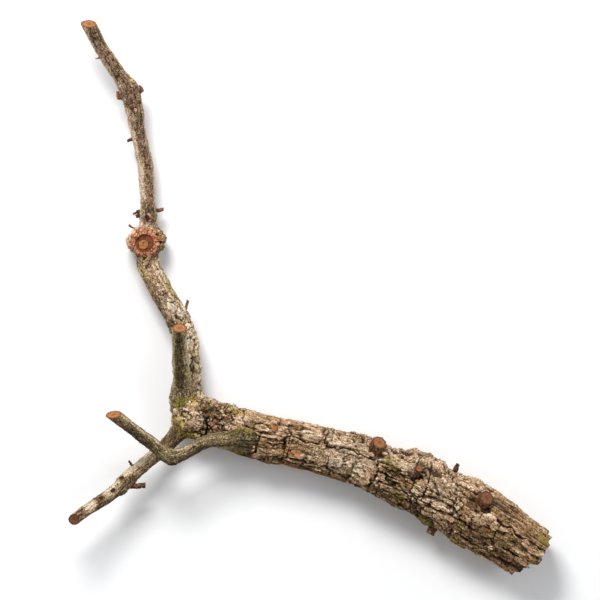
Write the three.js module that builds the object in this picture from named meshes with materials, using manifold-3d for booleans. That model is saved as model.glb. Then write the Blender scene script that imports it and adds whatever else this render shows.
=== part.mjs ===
// A fallen branch of a cork-barked tree, lying on the ground.
//
// Millimetres, +Z up. The origin is the middle of the branch's footprint, on the ground.
// +Y runs the way the leader points, and +X towards the torn butt.
//
// The branch is split at its forks. Each limb is grown from its root in a few stretches, and
// each side piece is cut back from the limb that carries it by a hairline gap.

import * as THREE from "three";
import { mergeVertices } from "three/addons/utils/BufferGeometryUtils.js";
import Module from "manifold-3d";

const wasm = await Module();
wasm.setup();

// ---- driving dimensions ----

const GAP = 0.3; // clearance between neighbouring pieces
const RING_STEP = 6.5; // spacing of the rings along a limb
const DOME_RINGS = [0.02, 0.12, 0.3, 0.6]; // where rings lie in a domed root, as shares of it
const GROUND_SIZE = 800; // comfortably wider than the branch
const GROUND_DEPTH = 40;
const UP = new THREE.Vector3(0, 0, 1);
const FORK = [-100.8, -85.8]; // plan position of the big fork

const BARK = {
  cork: { color: 0x8a7256, roughness: 0.95 },
  grey: { color: 0x9a8468, roughness: 0.9 },
  dark: { color: 0x5b4d36, roughness: 0.9 },
  dead: { color: 0x5a3c28, roughness: 0.85 },
};

// A limb is grown in stretches: [run on plan, bearing in degrees from +X, height of its centre
// at the far end]. Thickness gives the radius at distances along it. Ridges is the height of the
// bark's ridges as a share of the radius. Facing is the way a sawn end looks.
const LIMBS = {
  main_limb: {
    bark: BARK.cork,
    root: [FORK[0] - 3, FORK[1] + 1, 17.5],
    stretches: [[65, -17, 17.8], [68, -13, 20.5], [52, -22, 23.5], [52, -27, 23.5], [61, -33, 22.5]],
    thickness: [[0, 14], [22, 16.5], [65, 17.3], [130, 18], [185, 21], [245, 23.3], [294, 20]],
    dome: 14,
    sides: 28,
    ridges: 0.06,
    facing: [0.74, -0.66, 0.12],
  },
  leader: {
    bark: BARK.grey,
    root: [FORK[0] + 7, FORK[1] - 2, 18],
    stretches: [[60, 93, 19], [42, 117, 17], [22, 114, 15.5], [15, 92, 15]],
    thickness: [[0, 13], [20, 10.8], [50, 9.6], [90, 8.7], [120, 8.8], [140, 9]],
    sides: 16,
    ridges: 0.05,
  },
  upper_leader: {
    bark: BARK.grey,
    root: [FORK[0] - 23, FORK[1] + 130, 15],
    stretches: [[52, 92, 15.5], [34, 101, 19], [28, 102, 23]],
    thickness: [[0, 9.5], [14, 6.8], [35, 5.8], [80, 6], [105, 6.6], [114, 7.6], [118, 7.4]],
    sides: 14,
    ridges: 0.04,
  },
  leader_tip: {
    bark: BARK.grey,
    root: [FORK[0] - 37, FORK[1] + 242, 23],
    stretches: [[16, 122, 26], [24, 123, 31], [20, 117, 36]],
    thickness: [[0, 7.2], [6, 6.6], [16, 5.5], [40, 5], [64, 5.4]],
    sides: 14,
    ridges: 0.04,
    facing: [0, 0.85, 0.53],
  },
  lower_shoot: {
    bark: BARK.grey,
    root: [FORK[0] + 10, FORK[1] - 4, 16],
    stretches: [[30, 228, 19.5], [26, 220, 25], [22, 223, 32], [40, 215, 44]],
    thickness: [[0, 8.5], [18, 6], [60, 5.4], [72, 6], [84, 5], [118, 4.4]],
    sides: 12,
    ridges: 0.04,
    facing: [-0.5, -0.35, 0.79],
  },
  upright_shoot: {
    bark: BARK.dark,
    root: [FORK[0] + 5, FORK[1] + 2, 18],
    stretches: [[14, 98, 26], [24, 94, 44], [24, 90, 66]],
    thickness: [[0, 9.5], [16, 7.6], [30, 6.2], [80, 5.5]],
    sides: 12,
    ridges: 0.05,
    facing: [0, 0.78, 0.62],
  },
  crooked_shoot: {
    bark: BARK.dark,
    root: [FORK[0] + 56, FORK[1] - 22, 22],
    stretches: [[7, 178, 32], [25, 180, 39], [31, 202, 44], [22, 146, 50], [32, 142, 62]],
    thickness: [[0, 8.5], [12, 7.4], [30, 5.6], [56, 4.8], [72, 5.9], [86, 5], [134, 4.6]],
    sides: 12,
    ridges: 0.045,
    facing: [-0.14, 0.81, 0.56],
  },
};

// The callus that swelled round a sawn-off limb.
const BURL = { at: [FORK[0] - 25, FORK[1] + 130, 14.6], half: [15.5, 12.2, 14.8], face: 26.5 };

// Side pieces: the limb that carries each, how far along it they sit, the clock angle from
// straight up (positive towards the right of someone who looks along the limb), how much they
// lean along the limb, how far they reach from its centre, and their radius at each end.
const SIDE_PIECES = {
  stub_mid: { on: "main_limb", at: 153, clock: -48, lean: 0.1, reach: 25.5, radius: [7, 5.6] },
  stub_small: { on: "main_limb", at: 187, clock: -30, lean: 0.1, reach: 26, radius: [4.2, 3.3] },
  stub_butt: { on: "main_limb", at: 240, clock: -38, lean: 0.1, reach: 27.5, radius: [7, 5.6] },
  edge_peg: { on: "main_limb", at: 214, clock: -84, lean: 0, reach: 29, radius: [2.4, 1.6] },
  edge_chip: { on: "main_limb", at: 219, clock: 94, lean: 0, reach: 28.5, radius: [3.4, 3] },
  fork_stub_right: { on: "upper_leader", at: 112, clock: 82, lean: 0.3, reach: 10, radius: [4.2, 3] },
  fork_stub_left: { on: "upper_leader", at: 112, clock: -80, lean: 0.3, reach: 10.5, radius: [3.4, 2.6] },
  tip_spur: { on: "leader_tip", at: 36, clock: -75, lean: 0, reach: 8.5, radius: [2.4, 1.2] },
  leader_spur: { on: "upper_leader", at: 80, clock: -88, lean: -0.1, reach: 9.5, radius: [2.6, 1.3] },
  burl_peg: { on: "upper_leader", at: 23, clock: 88, lean: 0, reach: 12, radius: [2.4, 1.7] },
  burl_hook: { on: "upper_leader", at: 23, clock: -86, lean: 0, reach: 11.5, radius: [2.1, 1.1] },
  green_spur: { on: "leader", at: 74, clock: 80, lean: 0.45, reach: 13.5, radius: [4, 1.6] },
  shoot_twig: { on: "lower_shoot", at: 76, clock: -88, lean: -1.1, reach: 18.5, radius: [2.2, 2.4] },
  shoot_spur: { on: "lower_shoot", at: 59, clock: 70, lean: 0.1, reach: 9.5, radius: [2.2, 1.2] },
};

// ---- the shape of a limb ----

// The centreline that a limb's stretches describe.
function centreline({ root, stretches }) {
  const points = [new THREE.Vector3(...root)];
  for (const [run, bearing, height] of stretches) {
    const turn = THREE.MathUtils.degToRad(bearing);
    const last = points.at(-1);
    points.push(new THREE.Vector3(last.x + run * Math.cos(turn), last.y + run * Math.sin(turn), height));
  }
  return new THREE.CatmullRomCurve3(points, false, "centripetal");
}

// The radius at a distance along a limb, eased between the stated ones.
function radiusAt(thickness, distance) {
  const next = thickness.findIndex(([at]) => at > distance);
  if (next === 0) return thickness[0][1];
  if (next < 0) return thickness.at(-1)[1];
  const [from, low] = thickness[next - 1];
  const [to, high] = thickness[next];
  return low + (high - low) * THREE.MathUtils.smoothstep(distance, from, to);
}

// The directions across a limb at a share of its length: over is as near to straight up as the
// limb allows, and aside is to the right of someone who looks along it.
function acrossAt(curve, share) {
  const along = curve.getTangentAt(share);
  const over = UP.clone().addScaledVector(along, -UP.dot(along)).normalize();
  return { along, over, aside: along.clone().cross(over) };
}

// Low corky ridges that wander as they run along the limb.
function ridge(around, distance, radius) {
  const wander = 0.6 * Math.sin(distance / (2.1 * radius));
  return (
    0.5 * Math.sin(5 * around + wander) +
    0.3 * Math.sin(3 * around - distance / (1.3 * radius)) +
    0.2 * Math.sin(8 * around + distance / (0.9 * radius))
  );
}

// A closed geometry through rings of points, with a fan over each end.
function skinOver(rings) {
  const sides = rings[0].length;
  const first = new THREE.Vector3();
  const last = new THREE.Vector3();
  for (const p of rings[0]) first.addScaledVector(p, 1 / sides);
  for (const p of rings.at(-1)) last.addScaledVector(p, 1 / sides);
  const points = [...rings.flat(), first, last];
  const triangles = [];
  for (let side = 0; side < sides; side++) {
    const next = (side + 1) % sides;
    for (let ring = 0; ring + 1 < rings.length; ring++) {
      const a = ring * sides + side;
      const b = ring * sides + next;
      triangles.push(a, b, a + sides, b, b + sides, a + sides);
    }
    const end = (rings.length - 1) * sides;
    triangles.push(points.length - 2, next, side);
    triangles.push(points.length - 1, end + side, end + next);
  }
  const geometry = new THREE.BufferGeometry().setFromPoints(points);
  geometry.setIndex(triangles);
  return geometry;
}

// A limb as a closed geometry, with extra added to its skin all over.
function limbGeometry(limb, extra = 0) {
  const curve = centreline(limb);
  const length = curve.getLength();
  const steps = Math.max(3, Math.round(length / (limb.step ?? RING_STEP)));
  const domeShare = (limb.dome ?? 0) / length;
  const shares = limb.dome ? DOME_RINGS.map((part) => part * domeShare) : [];
  for (let step = 0; step <= steps; step++) {
    if (step / steps >= domeShare) shares.push(step / steps);
  }
  const rings = shares.map((share) => {
    const distance = share * length;
    const centre = curve.getPointAt(share);
    const { along, over, aside } = acrossAt(curve, share);
    const inDome = limb.dome ? Math.max(0, 1 - distance / limb.dome) : 0;
    const radius = radiusAt(limb.thickness, distance);
    const rounding = Math.sqrt(1 - inDome ** 2);
    const ring = [];
    for (let side = 0; side < limb.sides; side++) {
      const around = (2 * Math.PI * side) / limb.sides;
      const reach = radius * rounding * (1 + limb.ridges * ridge(around, distance, radius)) + extra;
      const across = over.clone().multiplyScalar(Math.cos(around) * reach);
      ring.push(centre.clone().add(across).addScaledVector(aside, Math.sin(around) * reach));
    }
    if (share === 1 && limb.facing) slant(ring, centre, along, limb.facing);
    return ring;
  });
  const ends = [[rings[0], curve.getTangentAt(0), -extra], [rings.at(-1), curve.getTangentAt(1), extra]];
  for (const [ring, along, shift] of ends) {
    for (const p of ring) p.addScaledVector(along, shift);
  }
  return skinOver(rings);
}

// Slides a ring's points along the limb until they lie on a plane that looks the way of facing.
function slant(ring, centre, along, facing) {
  const normal = new THREE.Vector3(...facing).normalize();
  for (const p of ring) {
    const off = centre.clone().sub(p).dot(normal) / along.dot(normal);
    p.addScaledVector(along, off);
  }
}

// A side piece, which starts at the centre of the limb that carries it.
function sidePiece({ on, at, clock, lean, reach, radius }) {
  const curve = centreline(LIMBS[on]);
  const share = at / curve.getLength();
  const { along, over, aside } = acrossAt(curve, share);
  const turn = THREE.MathUtils.degToRad(clock);
  const out = over.clone().multiplyScalar(Math.cos(turn)).addScaledVector(aside, Math.sin(turn));
  out.addScaledVector(along, lean).normalize();
  const root = curve.getPointAt(share);
  const tip = root.clone().addScaledVector(out, reach);
  return {
    bark: BARK.dead,
    root: root.toArray(),
    stretches: [[Math.hypot(tip.x - root.x, tip.y - root.y), bearingOf(out), tip.z]],
    thickness: [[0, radius[0]], [reach, radius[1]]],
    sides: 10,
    step: reach / 5,
    ridges: 0.08,
  };
}

function bearingOf(direction) {
  return THREE.MathUtils.radToDeg(Math.atan2(direction.y, direction.x));
}

// The burl: a lumpy ball that is flat where the limb was sawn off.
function burlGeometry(extra = 0) {
  const ball = new THREE.SphereGeometry(1, 28, 20);
  const spot = ball.attributes.position;
  const p = new THREE.Vector3();
  for (let i = 0; i < spot.count; i++) {
    p.fromBufferAttribute(spot, i);
    const around = Math.atan2(p.y, p.x);
    const rim = Math.hypot(p.x, p.y);
    const lump = 1 + rim * (0.07 * Math.sin(5 * around + 4 * p.z) + 0.05 * Math.cos(3 * around - 3 * p.z));
    p.multiply(new THREE.Vector3(...BURL.half)).multiplyScalar(lump);
    p.addScaledVector(p.clone().normalize(), extra);
    p.add(new THREE.Vector3(...BURL.at));
    p.z = Math.min(p.z, BURL.face + extra);
    spot.setXYZ(i, p.x, p.y, p.z);
  }
  return ball;
}

// ---- cutting the pieces clear of each other ----

function toSolid(geometry) {
  const bare = geometry.clone();
  bare.deleteAttribute("normal");
  bare.deleteAttribute("uv");
  const merged = mergeVertices(bare, 1e-4);
  const vertProperties = new Float32Array(merged.attributes.position.array);
  const triVerts = new Uint32Array(merged.index.array);
  return new wasm.Manifold(new wasm.Mesh({ numProp: 3, vertProperties, triVerts }));
}

function toGeometry(solid) {
  const { vertProperties, triVerts } = solid.getMesh();
  const geometry = new THREE.BufferGeometry();
  geometry.setAttribute("position", new THREE.BufferAttribute(vertProperties, 3));
  geometry.setIndex(new THREE.BufferAttribute(triVerts, 1));
  return geometry;
}

// The ground presses a small worn flat wherever the branch lies on it.
const ground = toSolid(
  new THREE.BoxGeometry(GROUND_SIZE, GROUND_SIZE, GROUND_DEPTH).translate(0, 0, -GROUND_DEPTH / 2),
);

const branch = new THREE.Group();
const carved = []; // the skins that later pieces are cut back from

function add(name, bark, makeGeometry) {
  let solid = toSolid(makeGeometry(0)).subtract(ground);
  for (const skin of carved) solid = solid.subtract(skin);
  carved.push(toSolid(makeGeometry(GAP)));
  // A cut can also leave loose slivers, so only the largest body is kept.
  const bodies = solid.decompose().sort((a, b) => b.volume() - a.volume());
  const finish = new THREE.MeshStandardMaterial({ ...bark, metalness: 0 });
  const mesh = new THREE.Mesh(toGeometry(bodies[0]), finish);
  mesh.name = name;
  branch.add(mesh);
}

function addLimb(name) {
  add(name, LIMBS[name].bark, (extra) => limbGeometry(LIMBS[name], extra));
}

// The thick pieces come first, because each later one gives way to those before it.
addLimb("main_limb");
add("knot_burl", BARK.cork, burlGeometry);
addLimb("leader");
addLimb("upper_leader");
addLimb("leader_tip");
addLimb("lower_shoot");
addLimb("upright_shoot");
addLimb("crooked_shoot");
for (const [name, side] of Object.entries(SIDE_PIECES)) {
  const piece = sidePiece(side);
  add(name, piece.bark, (extra) => limbGeometry(piece, extra));
}

export default branch;
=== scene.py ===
"""A fallen branch of a cork-barked tree, lying on the ground.

Each limb is a closed skin grown round the same centreline as its CAD solid. The skin is cracked
into bark plates, grooved, scarred and sawn in limb coordinates: how far along the limb a point
is, and which way round it. What the weather did there (cracks, moss, lichen, bare inner bark) is
kept on the skin, together with painted shade in its hollows and pits and a painted highlight on
what stands proud, and the bark materials read it.
"""

import math
import bmesh
import bpy
import numpy as np
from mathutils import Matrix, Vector


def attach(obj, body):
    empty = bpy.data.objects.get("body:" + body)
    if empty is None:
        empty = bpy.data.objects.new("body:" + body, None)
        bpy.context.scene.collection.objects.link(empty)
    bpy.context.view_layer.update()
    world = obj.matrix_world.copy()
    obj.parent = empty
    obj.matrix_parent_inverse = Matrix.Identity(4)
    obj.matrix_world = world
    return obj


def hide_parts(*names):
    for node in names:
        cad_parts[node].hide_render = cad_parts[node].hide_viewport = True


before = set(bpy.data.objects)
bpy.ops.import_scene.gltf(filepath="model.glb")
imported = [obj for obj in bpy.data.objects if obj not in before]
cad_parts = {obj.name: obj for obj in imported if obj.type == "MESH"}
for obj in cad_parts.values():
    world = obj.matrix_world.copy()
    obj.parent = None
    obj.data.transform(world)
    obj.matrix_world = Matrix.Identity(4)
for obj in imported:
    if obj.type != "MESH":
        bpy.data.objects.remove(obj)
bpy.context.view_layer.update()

# ---- driving dimensions: millimetres, as in the CAD source, and degrees ----

MM = 0.001
UP = np.array([0.0, 0.0, 1.0])
FORK = np.array([-100.8, -85.8, 0.0])  # plan position of the big fork
GROUND = 0.05  # the skin stays this far above the ground

# Each limb has a root (from the fork), stretches [run on plan, bearing, height at the far end],
# thickness [distance, radius], and the way its sawn end faces. The thick limb's root is rounded
# off over the length of its dome.
LIMBS = {
    "main_limb": {
        "root": (-3, 1, 17.5),
        "stretches": [(65, -17, 17.8), (68, -13, 20.5), (52, -22, 23.5), (52, -27, 23.5), (61, -33, 22.5)],
        "thickness": [(0, 14), (22, 16.5), (65, 17.3), (130, 18), (185, 21), (245, 23.3), (294, 20)],
        "dome": 14,
        "facing": (0.74, -0.66, 0.12),
    },
    "leader": {
        "root": (7, -2, 18),
        "stretches": [(60, 93, 19), (42, 117, 17), (22, 114, 15.5), (15, 92, 15)],
        "thickness": [(0, 13), (20, 10.8), (50, 9.6), (90, 8.7), (120, 8.8), (140, 9)],
    },
    "upper_leader": {
        "root": (-23, 130, 15),
        "stretches": [
            (52, 92, 15.5), (34, 101, 19), (28, 102, 23), (16, 122, 26), (24, 123, 31), (20, 117, 36),
        ],
        "thickness": [
            (0, 9.5), (14, 6.8), (35, 5.8), (80, 6), (105, 6.6), (115, 7.8), (122, 6.6), (132, 5.5),
            (156, 5), (180, 5.5),
        ],
        "facing": (0, 0.85, 0.53),
    },
    "lower_shoot": {
        "root": (10, -4, 16),
        "stretches": [(30, 228, 19.5), (26, 220, 25), (22, 223, 32), (40, 215, 44)],
        "thickness": [(0, 8.5), (18, 6), (60, 5.4), (72, 6), (84, 5), (118, 4.4)],
        "facing": (-0.5, -0.35, 0.79),
    },
    "upright_shoot": {
        "root": (5, 2, 18),
        "stretches": [(14, 98, 26), (24, 94, 44), (24, 90, 66)],
        "thickness": [(0, 9.5), (16, 7.6), (30, 6.2), (80, 5.5)],
        "facing": (0, 0.78, 0.62),
    },
    "crooked_shoot": {
        "root": (56, -22, 22),
        "stretches": [(7, 178, 32), (25, 180, 39), (31, 202, 44), (22, 146, 50), (32, 142, 62)],
        "thickness": [(0, 8.5), (12, 7.4), (30, 5.6), (56, 4.8), (72, 5.9), (86, 5), (134, 4.6)],
        "facing": (-0.14, 0.81, 0.56),
    },
}

# Side pieces: the limb that carries each, how far along it, the clock angle from straight up, the
# lean along the limb, the reach from the limb's centre, the radius at each end, and how far the
# tip curls away on plan.
SIDE_PIECES = {
    "stub_mid": ("main_limb", 153, -48, 0.1, 25.5, (7, 5.6), (0, 0)),
    "stub_small": ("main_limb", 187, -30, 0.1, 26, (4.2, 3.3), (0, 0)),
    "stub_butt": ("main_limb", 240, -38, 0.1, 27.5, (7, 5.6), (0, 0)),
    "edge_peg": ("main_limb", 214, -84, 0, 29, (2.2, 1.6), (-0.6, 0)),
    "edge_chip": ("main_limb", 219, 94, 0, 28.5, (3.4, 3.0), (0, 0)),
    "fork_stub_right": ("upper_leader", 112, 82, 0.3, 10, (4.4, 3.0), (0, 0)),
    "fork_stub_left": ("upper_leader", 112, -80, 0.3, 10.5, (3.2, 2.4), (0, 0)),
    "tip_spur": ("upper_leader", 150, -75, 0, 8.5, (2.4, 0.9), (0, 0.8)),
    "leader_spur": ("upper_leader", 80, -88, -0.1, 9.5, (2.4, 1.1), (0, -0.5)),
    "burl_peg": ("upper_leader", 23, 88, 0, 11.5, (2.0, 1.5), (0, 0.8)),
    "burl_hook": ("upper_leader", 22, -86, 0, 11, (1.7, 0.7), (-0.5, -1.5)),
    "green_spur": ("leader", 74, 80, 0.4, 12.5, (4.4, 0.9), (0.2, 4.6)),
    "shoot_twig": ("lower_shoot", 76, -88, -1.1, 18.5, (1.9, 2.4), (0, 0.6)),
    "shoot_spur": ("lower_shoot", 59, 70, 0.1, 9.5, (1.7, 1.0), (0, 0.6)),
}

# Fine twigs and shards with no solid of their own, in the same terms.
FINE_TWIGS = {
    "burl_shard": ("leader", 128, 16, -0.1, 12.5, (3.6, 1.5), (-3.2, -4.5)),
    "burl_twig": ("upper_leader", 9, -88, 0.1, 15.5, (1.0, 0.7), (0.6, 1.5)),
    "hook_stub": ("upper_leader", 21, -80, -0.2, 9.5, (1.4, 1.1), (0, 0)),
    "fork_thorn": ("upper_leader", 117, -84, 0.2, 9, (1.1, 0.6), (-0.6, 0.4)),
    "crook_peg": ("leader", 12, -80, 0, 14, (2.4, 1.6), (0, 0)),
}

# The burl's middle from the fork, its half sizes, how high its sawn face is, and its knobs: where
# each is from the middle, and how far it reaches.
BURL = {
    "at": (-25, 130, 14.6),
    "half": (15.5, 12.6, 14.8),
    "face": 26.5,
    "knobs": [
        (11, 8, 5, 5), (14, 2, 4, 5), (12, -5, 4, 4.5), (8, 2, 11, 4), (13, 1, -8, 6), (8, 10, -4, 5),
        (8, -9, -5, 5),
    ],
}

# The healed cut in the burl: its middle from the fork, the radius of its lip, and the radius and
# the middle of its sunken disc and of the core in that.
KNOT = {
    "at": (-25.6, 128.6), "lip": 11.2,
    "disc": 6.4, "disc_at": (-0.4, -0.7),
    "core": 3.7, "core_at": (-1.2, -1.6),
}

# Marks on the bark: (what, distance along, clock angle, half length, half width, height). A plate
# or block has square shoulders; a knot is a dimpled bud, and a scar a healed ring. A pit is a hollow
# painted dark as painted shade; on the thick limb most sit beside a stub, as its painted shadow.
SPOTS = {
    "main_limb": [
        ("plate", 133, -44, 16, 10, 1.7), ("plate", 141, 14, 18, 9, 2.3), ("plate", 104, 2, 14, 8, 1.3),
        ("block", 80, -20, 15, 5, 0.7), ("block", 84, 30, 18, 5, 0.9), ("block", 106, 56, 18, 5, 0.6),
        ("plate", 110, -46, 10, 8, 0.9), ("block", 78, 60, 14, 4, 0.6), ("block", 206, -26, 12, 7, 1.3),
        ("plate", 210, 2, 16, 6, 1.2), ("block", 232, -4, 8, 6, 1.2), ("plate", 253, -8, 6, 4.5, 1.3),
        ("plate", 176, -44, 9, 9, 1.0), ("block", 78, 34, 9, 12, 1.6),
        ("block", 186, 14, 17, 8, 0.8), ("block", 222, 36, 20, 9, 1.0), ("block", 262, 26, 20, 9, 1.2),
        ("block", 284, 6, 15, 5, 1.4), ("block", 292, 40, 13, 7, 1.1), ("block", 254, 62, 18, 8, 1.2),
        ("block", 193, -80, 14, 11, 4.0), ("block", 226, -66, 10, 8, 1.2), ("block", 66, -50, 12, 9, 0.7),
        ("block", 66, 62, 13, 8, 0.6), ("block", 168, 44, 22, 9, 0.7), ("fibre", 270, 44, 34, 15, 0.2),
        ("fibre", 282, -50, 36, 20, 0.8),
        ("moss", 14, 62, 14, 9, 0.4), ("moss", 211, 80, 11, 6, 0.5), ("moss", 241, 76, 12, 6, 0.5),
        ("moss", 170, -24, 8, 5, 0.3), ("moss", 182, 36, 5, 5, 0.2), ("moss", 124, 84, 10, 5, 0.3),
        ("moss", 296, -40, 5, 4, 0.1), ("moss", 34, 40, 8, 6, 0.2), ("moss", 50, 50, 12, 8, 0.2),
        ("lichen", 9, -40, 7, 7, 1.2), ("lichen", 6, 14, 9, 10, 0.3), ("lichen", 44, -50, 8, 4, 0.3),
        ("pale", 15, 6, 13, 9, 1.6), ("pale", 50, -30, 7, 5, 0.6), ("pale", 206, -8, 14, 4, 0),
        ("pale", 140, 0, 26, 14, 0),
        ("raw", 78, -34, 4, 3, 0.1), ("raw", 88, 80, 18, 5, -0.2), ("raw", 158, 34, 2.5, 8, -0.6),
        ("raw", 224, -52, 3, 2, 0.1), ("raw", 233, 4, 3, 2, 0.1), ("raw", 124, 78, 14, 3, -0.3),
        ("raw", 292, 66, 4, 4, 0.0), ("raw", 188, 2, 2.5, 2, 0), ("raw", 96, 20, 8, 2, 0),
        ("raw", 16, 8, 1.4, 1.2, 0), ("raw", 252, 6, 7, 2, 0),
        ("dark", 258, 32, 32, 17, -0.3), ("dark", 284, 28, 20, 10, 0), ("dark", 34, -34, 12, 7, 0),
        # The two long dark bands along the underside, at 62 and 74 degrees, are darker bark that is partly
        # painted shade on the side away from the light.
        ("dark", 190, 62, 60, 10, 0), ("dark", 110, 74, 60, 9, 0),
        ("dark", 236, -20, 7, 12, -0.3), ("dark", 30, 40, 14, 12, 0), ("dark", 176, 6, 12, 9, -0.2),
        # Pits: hollows painted dark as painted shade, mostly the shadow under the stub beside each.
        ("shaded_pit", 159, -30, 4, 3, -2.4), ("shaded_pit", 192, -14, 5, 4, -2.4), ("shaded_pit", 246, -24, 4, 4, -2.6),
        ("shaded_pit", 176, -62, 5, 3, -1.2), ("shaded_pit", 200, -40, 6, 3, -1.2),
    ],
    "leader": [
        ("moss", 4, -66, 12, 4, 0.3), ("pale", 32, 24, 32, 10, 0.2), ("lichen", 116, -48, 6, 3, 0.3),
        ("pale", 84, 0, 9, 6, 0.3),
        ("plate", 84, 4, 5, 2.6, 0.6), ("plate", 76, 26, 5, 2.4, 0.6), ("plate", 70, -2, 4, 3, 0.6),
        ("plate", 100, 5, 3.5, 2, 0.4), ("pale", 40, 44, 22, 5, 0.2), ("plate", 62, 36, 5, 3, 0.6),
        ("dark", 128, 10, 7, 9, -0.2), ("lichen", 34, 34, 5, 4, 0.3), ("lichen", 12, 66, 10, 3, 0.2),
        ("lichen", 52, 58, 14, 4, 0.2), ("dark", 20, 20, 12, 4, 0), ("shaded_pit", 66, 12, 2, 1.6, -0.8),
        ("lichen", 96, 60, 20, 3, 0.1), ("dark", 60, -50, 40, 5, 0), ("raw", 52, 40, 3, 2, 0),
        ("raw", 40, 58, 4, 1.5, 0), ("raw", 62, 16, 2, 2, 0), ("raw", 26, 40, 3, 1.5, 0),
    ],
    "upper_leader": [
        ("knot", 18, -8, 1.8, 1.6, 0.7), ("scar", 101, 6, 2.6, 2.5, 0.6), ("knot", 106, 44, 1.4, 1.2, 0.3),
        ("pale", 58, -70, 46, 5, 0.1), ("pale", 58, 84, 46, 4, 0), ("pale", 54, -40, 8, 4, 0.1),
        ("dark", 66, 24, 48, 5, 0), ("dark", 148, 10, 34, 8, 0), ("dark", 112, 0, 14, 8, 0),
        ("pale", 146, -78, 34, 3, 0.1), ("pale", 150, 84, 30, 2.4, 0), ("lichen", 150, 76, 26, 1.2, 0.1),
        ("dark", 172, 30, 10, 4, 0), ("dark", 134, 10, 14, 5, 0),
        ("lichen", 16, 72, 5, 1.6, 0.2), ("lichen", 122, 62, 6, 1.4, 0.2), ("lichen", 100, 74, 10, 1.6, 0.2),
        ("knot", 143, 34, 1.2, 1, -0.4), ("bump", 119, 52, 5, 4, 1.4), ("bump", 22, 0, 5, 7, 0.6),
        ("bump", 108, -10, 6, 8, 0.7), ("dark", 22, 0, 9, 8, 0), ("knot", 131, -16, 1.6, 1.2, 0.3),
    ],
    "lower_shoot": [
        ("pale", 88, 20, 5, 6, 0.2), ("pale", 106, 14, 6, 6, 0.2), ("pale", 60, 50, 18, 4.5, 0.1),
        ("knot", 73, 40, 2.8, 2.4, 0.8), ("knot", 85, 12, 2.2, 2.0, 0.6), ("knot", 96, 20, 1.8, 1.6, 0.5),
        ("bump", 79, -64, 3.5, 3, 1.3), ("dark", 22, -20, 22, 9, 0), ("dark", 74, -30, 10, 6, 0),
        ("dark", 97, 0, 4, 9, 0), ("dark", 116, -30, 5, 8, 0), ("moss", 6, -20, 12, 8, 0.3),
        ("dark", 84, -70, 42, 4, 0), ("pale", 80, 40, 4, 5, 0.1),
    ],
    "upright_shoot": [
        ("moss", 8, -10, 8, 6, 0.3), ("lichen", 12, 50, 6, 3, 0.3), ("dark", 50, -10, 34, 3.4, 0),
        ("knot", 44, 50, 1.2, 1.2, 0.3), ("pale", 52, -80, 34, 4, 0), ("pale", 52, 84, 34, 4, 0),
        ("lichen", 34, 60, 8, 3, 0.2),
    ],
    "crooked_shoot": [
        ("knot", 70, -64, 2.6, 2.6, 0.9), ("plate", 64, 62, 4, 3, 0.4), ("knot", 82, 0, 1.3, 1.1, 0.3),
        ("dark", 104, -30, 26, 4, 0), ("moss", 8, 80, 12, 6, 0.3), ("dark", 10, 20, 14, 14, 0),
        ("lichen", 124, 60, 12, 1.8, 0.2), ("pale", 106, 52, 28, 1.6, 0), ("dark", 56, -60, 24, 4, 0),
        ("pale", 58, 40, 5, 2.4, 0.2),
    ],
    "edge_peg": [("dark", 22, 0, 12, 12, 0), ("dark", 22, 180, 12, 12, 0)],
}

# Flakes that stand off the thick limb's bark: distance, clock angle, half length, half width, how
# far the loose edge has lifted, and which edge that is (0 towards the butt, 90 to the right).
FLAKES = [
    (158, 10, 4, 6, 1.7, 20), (155, 30, 5, 4, 1.8, 50), (150, 48, 6, 2.5, 1.4, 80),
    (149, -24, 5, 2.5, 1.2, 0), (118, 22, 3, 5, 1.1, 180), (116, -6, 3, 4, 1.1, 180),
    (134, 40, 7, 2, 1.0, 90), (196, -10, 4, 3, 1.3, 180), (214, 14, 5, 2.4, 1.1, 90),
    (226, 26, 5, 2, 1.1, 90), (237, 8, 4, 3, 1.3, 90), (247, 2, 5, 2.5, 1.5, 160),
    (258, -3, 3, 2.5, 1.1, 0), (96, 6, 6, 1.8, 1.0, 90), (84, -32, 4, 2, 1.0, 270),
    (70, 50, 4, 2.5, 1.0, 150), (284, 10, 7, 1.8, 1.0, 0), (290, 26, 6, 1.8, 1.0, 0),
    (180, -46, 4, 3, 1.2, 0),
]

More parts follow.
